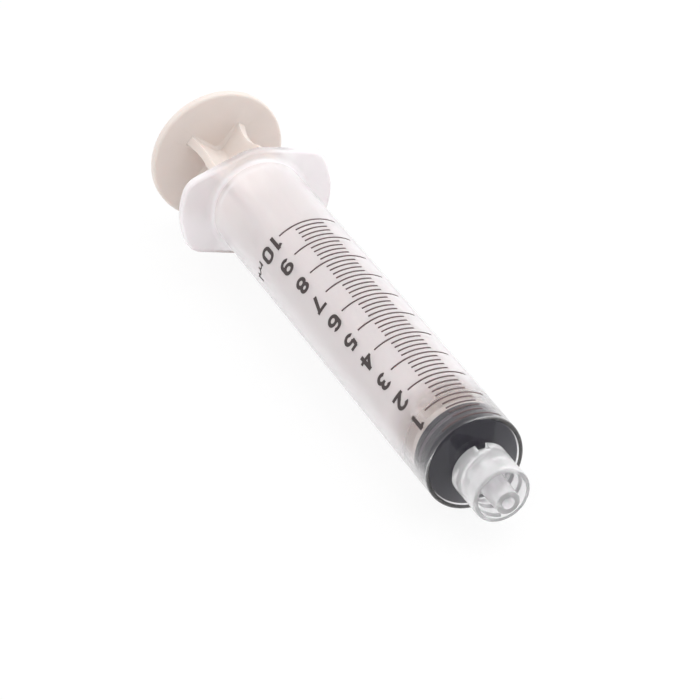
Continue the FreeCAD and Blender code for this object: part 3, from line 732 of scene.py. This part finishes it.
class SYRINGE_OT_stopper(bpy.types.Operator):
    """Mould the rubber stopper"""
    bl_idname = "syringe.stopper"
    bl_label = "Stopper"

    def execute(self, context):
        shape = context.scene.syringe_stopper
        rod = context.scene.syringe_rod
        radius, back = STOPPER_HIGH.z, STOPPER_LOW.x
        front = back + shape.rim_length
        pocket = back + shape.lip
        pocket_end = ROD_HIGH.x + HEAD_GAP
        groove_back = back + shape.back_rib
        groove_front = groove_back + shape.groove_width
        floor = radius - shape.groove_depth
        slope = 0.15 * MM
        corners = [
            (pocket_end, 0, 0),
            (pocket_end, rod.head_radius + HEAD_GAP, 0),
            (pocket, rod.head_radius + HEAD_GAP, 0),
            (pocket, rod.neck_radius + HEAD_GAP, 0.1 * MM),
            (back, rod.neck_radius + HEAD_GAP, 0.1 * MM),
            (back, radius, 0.3 * MM),
            (groove_back, radius, 0.15 * MM),
            (groove_back + slope, floor, 0.1 * MM),
            (groove_front - slope, floor, 0.1 * MM),
            (groove_front, radius, 0.15 * MM),
            (front, radius, 0.45 * MM),
            (STOPPER_HIGH.x, shape.face_flat, 1.2 * MM),
            (STOPPER_HIGH.x, 0, 0),
        ]
        outline = outline_mesh("stopper_outline", [point + (0.0, 0.0) for point in rounded(corners)])
        piece = TURNING.cook("stopper_rubber", outline, {
            "Steps": STOPPER_STEPS,
            "Material": stopper_rubber(shape),
        })
        face_outwards(piece.data)
        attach(piece, "stopper")
        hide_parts("stopper")
        return {"FINISHED"}


class SYRINGE_OT_plunger_rod(bpy.types.Operator):
    """Mould the plunger rod"""
    bl_idname = "syringe.plunger_rod"
    bl_label = "Plunger Rod"

    def execute(self, context):
        shape = context.scene.syringe_rod
        lip = context.scene.syringe_stopper.lip
        head_back = STOPPER_LOW.x + lip + HEAD_GAP
        pusher_face = STOPPER_LOW.x - PUSHER_GAP
        pusher_back = pusher_face - shape.pusher
        thumb_back, thumb = ROD_LOW.x, ROD_HIGH.z
        thumb_face = thumb_back + shape.thumb_thickness
        waist = thumb_face + shape.waist_length
        fillet = 0.25 * MM
        ribs = shape.rib_radius
        head = [point + (0.0, 0.0) for point in rounded([
            (ROD_HIGH.x, 0, 0),
            (ROD_HIGH.x, shape.head_radius, 0.25 * MM),
            (head_back, shape.head_radius, 0.2 * MM),
            (head_back, shape.neck_radius, 0.15 * MM),
            (pusher_face, shape.neck_radius, 0.15 * MM),
            (pusher_face, ribs, 0.2 * MM),
            (pusher_back, ribs, 0),
        ])]
        middle = [(pusher_back, ribs, 1.0, fillet), (pusher_back - fillet, ribs, 1.0, 0.0)]
        for step in range(1, RIB_BAYS):
            station = pusher_back + (waist - pusher_back) * step / RIB_BAYS
            middle.append((station, ribs, 1.0, 0.0))
        arc = hollow(waist, thumb_face, ribs, shape.waist_depth, HOLLOW_STEPS)
        for x, radius in arc:
            near = max(0.0, 1.0 - (x - thumb_face) / (2 * fillet))
            middle.append((x, radius, 1.0, near * near * 2 * fillet))
        disc = [point + (0.0, 0.0) for point in rounded([
            (thumb_face, arc[-1][1], 0),
            (thumb_face, thumb, THUMB_ROUNDING),
            (thumb_back, thumb, THUMB_ROUNDING),
            (thumb_back, 0, 0),
        ])]
        outline = outline_mesh("rod_outline", head + middle + disc)
        piece = TURNING.cook("plunger_rod_plastic", outline, {
            "Steps": ROD_STEPS,
            "Half Rib Thickness": shape.rib_thickness / 2,
            "Rib Root Radius": RIB_ROOT,
            "Rib Edge Softness": RIB_SOFTNESS,
            "Roll": shape.roll,
            "Material": rod_plastic(shape),
        })
        face_outwards(piece.data)
        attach(piece, "plunger_rod")
        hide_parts("plunger_rod")
        return {"FINISHED"}


class SYRINGE_OT_scale(bpy.types.Operator):
    """Print the scale on the barrel"""
    bl_idname = "syringe.scale"
    bl_label = "Scale"

    def execute(self, context):
        shape = context.scene.syringe_print
        half = shape.line_width / 2
        steps = shape.millilitres * shape.divisions
        host = bpy.data.meshes.new("scale_host")
        piece = scale_recipe().cook("scale_line_print", host, {
            "Steps": steps,
            "Divisions": shape.divisions,
            "Zero": LINES_HIGH.x - half,
            "Reach": LINES_LOW.x + half,
            "Line Width": shape.line_width,
            "Tube Radius": INK_TOP - INK_HEIGHT,
            "Ink Height": INK_HEIGHT,
            "Short Arc": shape.short_line,
            "Long Arc": shape.long_line,
            "Material": print_ink(shape, "line_ink", shape.line_thinness),
        })
        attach(piece, "barrel")
        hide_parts("scale_lines")
        dress("scale_figures", print_ink(shape, "figure_ink", shape.figure_thinness))
        return {"FINISHED"}


# Stage


def rest_plane(thumb_thickness):
    """Where the table touches: the thumb disc's lowest edge, and the barrel's front rim."""
    back = Vector((ROD_LOW.x + thumb_thickness - THUMB_ROUNDING, 0, ROD_LOW.z))
    front = Vector((RIM_END, 0, -(INK_TOP - INK_HEIGHT)))
    slope = math.atan2(front.z - back.z, front.x - back.x)
    return back, slope


def floor_material(setting):
    """A pale table that looks white but keeps a soft shadow."""
    paint = Finish("pale_table")
    path = paint.node("ShaderNodeLightPath").output.node.outputs
    seen = Socket(paint, path["Is Camera Ray"])
    seen = seen.math("MAXIMUM", seen, Socket(paint, path["Is Glossy Ray"]))
    seen = seen.math("MAXIMUM", seen, Socket(paint, path["Is Transmission Ray"]))
    table = paint.node("ShaderNodeBsdfDiffuse", None, {"Color": tuple(setting.floor)})
    white = paint.node("ShaderNodeEmission", None, {"Color": (1, 1, 1, 1), "Strength": 1.0})
    both = paint.node("ShaderNodeMixShader", None, {0: seen * setting.floor_glow, 1: table, 2: white})
    paint.node("ShaderNodeOutputMaterial", None, {"Surface": both})
    return paint.material


def set_world(context, setting):
    """Light from all round but the dim side of the room, which is seen as plain white."""
    world = bpy.data.worlds.new("room")
    context.scene.world = world
    world.use_nodes = True
    room = Graph(world.node_tree)
    path = room.node("ShaderNodeLightPath").output.node.outputs
    towards = room.node("ShaderNodeTexCoord", output="Generated")
    facing = room.node("ShaderNodeVectorMath", {"operation": "DOT_PRODUCT"}, {
        0: towards,
        1: Vector(setting.dim_side).normalized(),
    }, 1)
    dimness = room.node("ShaderNodeMapRange", {"interpolation_type": "SMOOTHSTEP"}, {
        "Value": facing,
        "From Min": DIM_FROM,
        "From Max": DIM_TO,
        "To Min": 0.0,
        "To Max": 1 - setting.dim_light,
    })
    seen = Socket(room, path["Is Camera Ray"])
    seen = seen.math("MAXIMUM", seen, Socket(room, path["Is Transmission Ray"]))
    shining = Socket(room, path["Is Glossy Ray"])
    bright = setting.room_light * (1 - setting.front_shade * dimness)
    strength = bright + shining * (1 - bright - dimness)
    light = room.node("ShaderNodeBackground", None, {"Color": (1, 1, 1, 1), "Strength": strength})
    white = room.node("ShaderNodeBackground", None, {"Color": (1, 1, 1, 1), "Strength": 1.0})
    both = room.node("ShaderNodeMixShader", None, {0: seen, 1: light, 2: white})
    room.node("ShaderNodeOutputWorld", None, {"Surface": both})


class SYRINGE_OT_stage(bpy.types.Operator):
    """Set the table, the light and the camera"""
    bl_idname = "syringe.stage"
    bl_label = "Stage"

    def execute(self, context):
        setting = context.scene.syringe_stage
        collection = context.scene.collection
        context.scene.view_settings.view_transform = "Standard"

        point, slope = rest_plane(context.scene.syringe_rod.thumb_thickness)
        tilt = Matrix.Translation(point) @ Matrix.Rotation(-slope, 4, "Y")
        mesh = bpy.data.meshes.new("table")
        square = ((-1, -1), (1, -1), (1, 1), (-1, 1))
        corners = [tilt @ Vector((x * TABLE_HALF, y * TABLE_HALF, 0)) for x, y in square]
        mesh.from_pydata(corners, [], [(0, 1, 2, 3)])
        mesh.materials.append(floor_material(setting))
        table = bpy.data.objects.new("table", mesh)
        collection.objects.link(table)

        set_world(context, setting)
        lamp = bpy.data.lights.new("overhead", "AREA")
        lamp.shape = "RECTANGLE"
        lamp.size, lamp.size_y = LAMP_SIZE, LAMP_SIZE
        lamp.energy = setting.lamp_power
        overhead = bpy.data.objects.new("overhead", lamp)
        overhead.location = LAMP_PLACE
        overhead.rotation_euler = (LAMP_PLACE - LAMP_AIM).to_track_quat("Z", "Y").to_euler()
        collection.objects.link(overhead)

        camera = bpy.data.cameras.new("camera")
        camera.sensor_width = 36
        camera.lens = setting.lens
        camera.clip_start = 0.01
        viewer = bpy.data.objects.new("camera", camera)
        level = Euler((math.pi / 2 - setting.elevation, 0, setting.azimuth)).to_matrix().to_4x4()
        turned = level @ Matrix.Rotation(setting.roll, 4, "Z")
        back = Matrix.Translation((0, 0, setting.distance))
        viewer.matrix_world = Matrix.Translation(setting.aim) @ turned @ back
        collection.objects.link(viewer)
        context.scene.camera = viewer
        return {"FINISHED"}


class SYRINGE_PT_panel(bpy.types.Panel):
    """Lists the pieces of the syringe"""
    bl_label = "Syringe"
    bl_idname = "SYRINGE_PT_panel"
    bl_space_type = "VIEW_3D"
    bl_region_type = "UI"
    bl_category = "Syringe"

    def draw(self, context):
        for operator, setting in STEPS:
            box = self.layout.box()
            box.operator(operator.bl_idname)
            group = getattr(context.scene, setting)
            for name in group.bl_rna.properties.keys():
                if name not in ("rna_type", "name"):
                    box.prop(group, name)


# The order in which the syringe is made, with each step's settings

STEPS = [
    (SYRINGE_OT_barrel, "syringe_barrel"),
    (SYRINGE_OT_stopper, "syringe_stopper"),
    (SYRINGE_OT_plunger_rod, "syringe_rod"),
    (SYRINGE_OT_scale, "syringe_print"),
    (SYRINGE_OT_stage, "syringe_stage"),
]

SETTINGS = {
    "syringe_barrel": BarrelFinish,
    "syringe_stopper": StopperShape,
    "syringe_rod": RodShape,
    "syringe_print": PrintShape,
    "syringe_stage": StageSetting,
}


def register():
    for name, group in SETTINGS.items():
        bpy.utils.register_class(group)
        setattr(bpy.types.Scene, name, PointerProperty(type=group))
    for operator, setting in STEPS:
        bpy.utils.register_class(operator)
    bpy.utils.register_class(SYRINGE_PT_panel)


def unregister():
    bpy.utils.unregister_class(SYRINGE_PT_panel)
    for operator, setting in reversed(STEPS):
        bpy.utils.unregister_class(operator)
    for name, group in reversed(SETTINGS.items()):
        delattr(bpy.types.Scene, name)
        bpy.utils.unregister_class(group)


TURNING = turning_recipe()


def main():
    register()
    bpy.ops.syringe.barrel()
    bpy.ops.syringe.stopper()
    bpy.ops.syringe.plunger_rod()
    bpy.ops.syringe.scale()
    bpy.ops.syringe.stage()


if __name__ == "__main__":
    main()
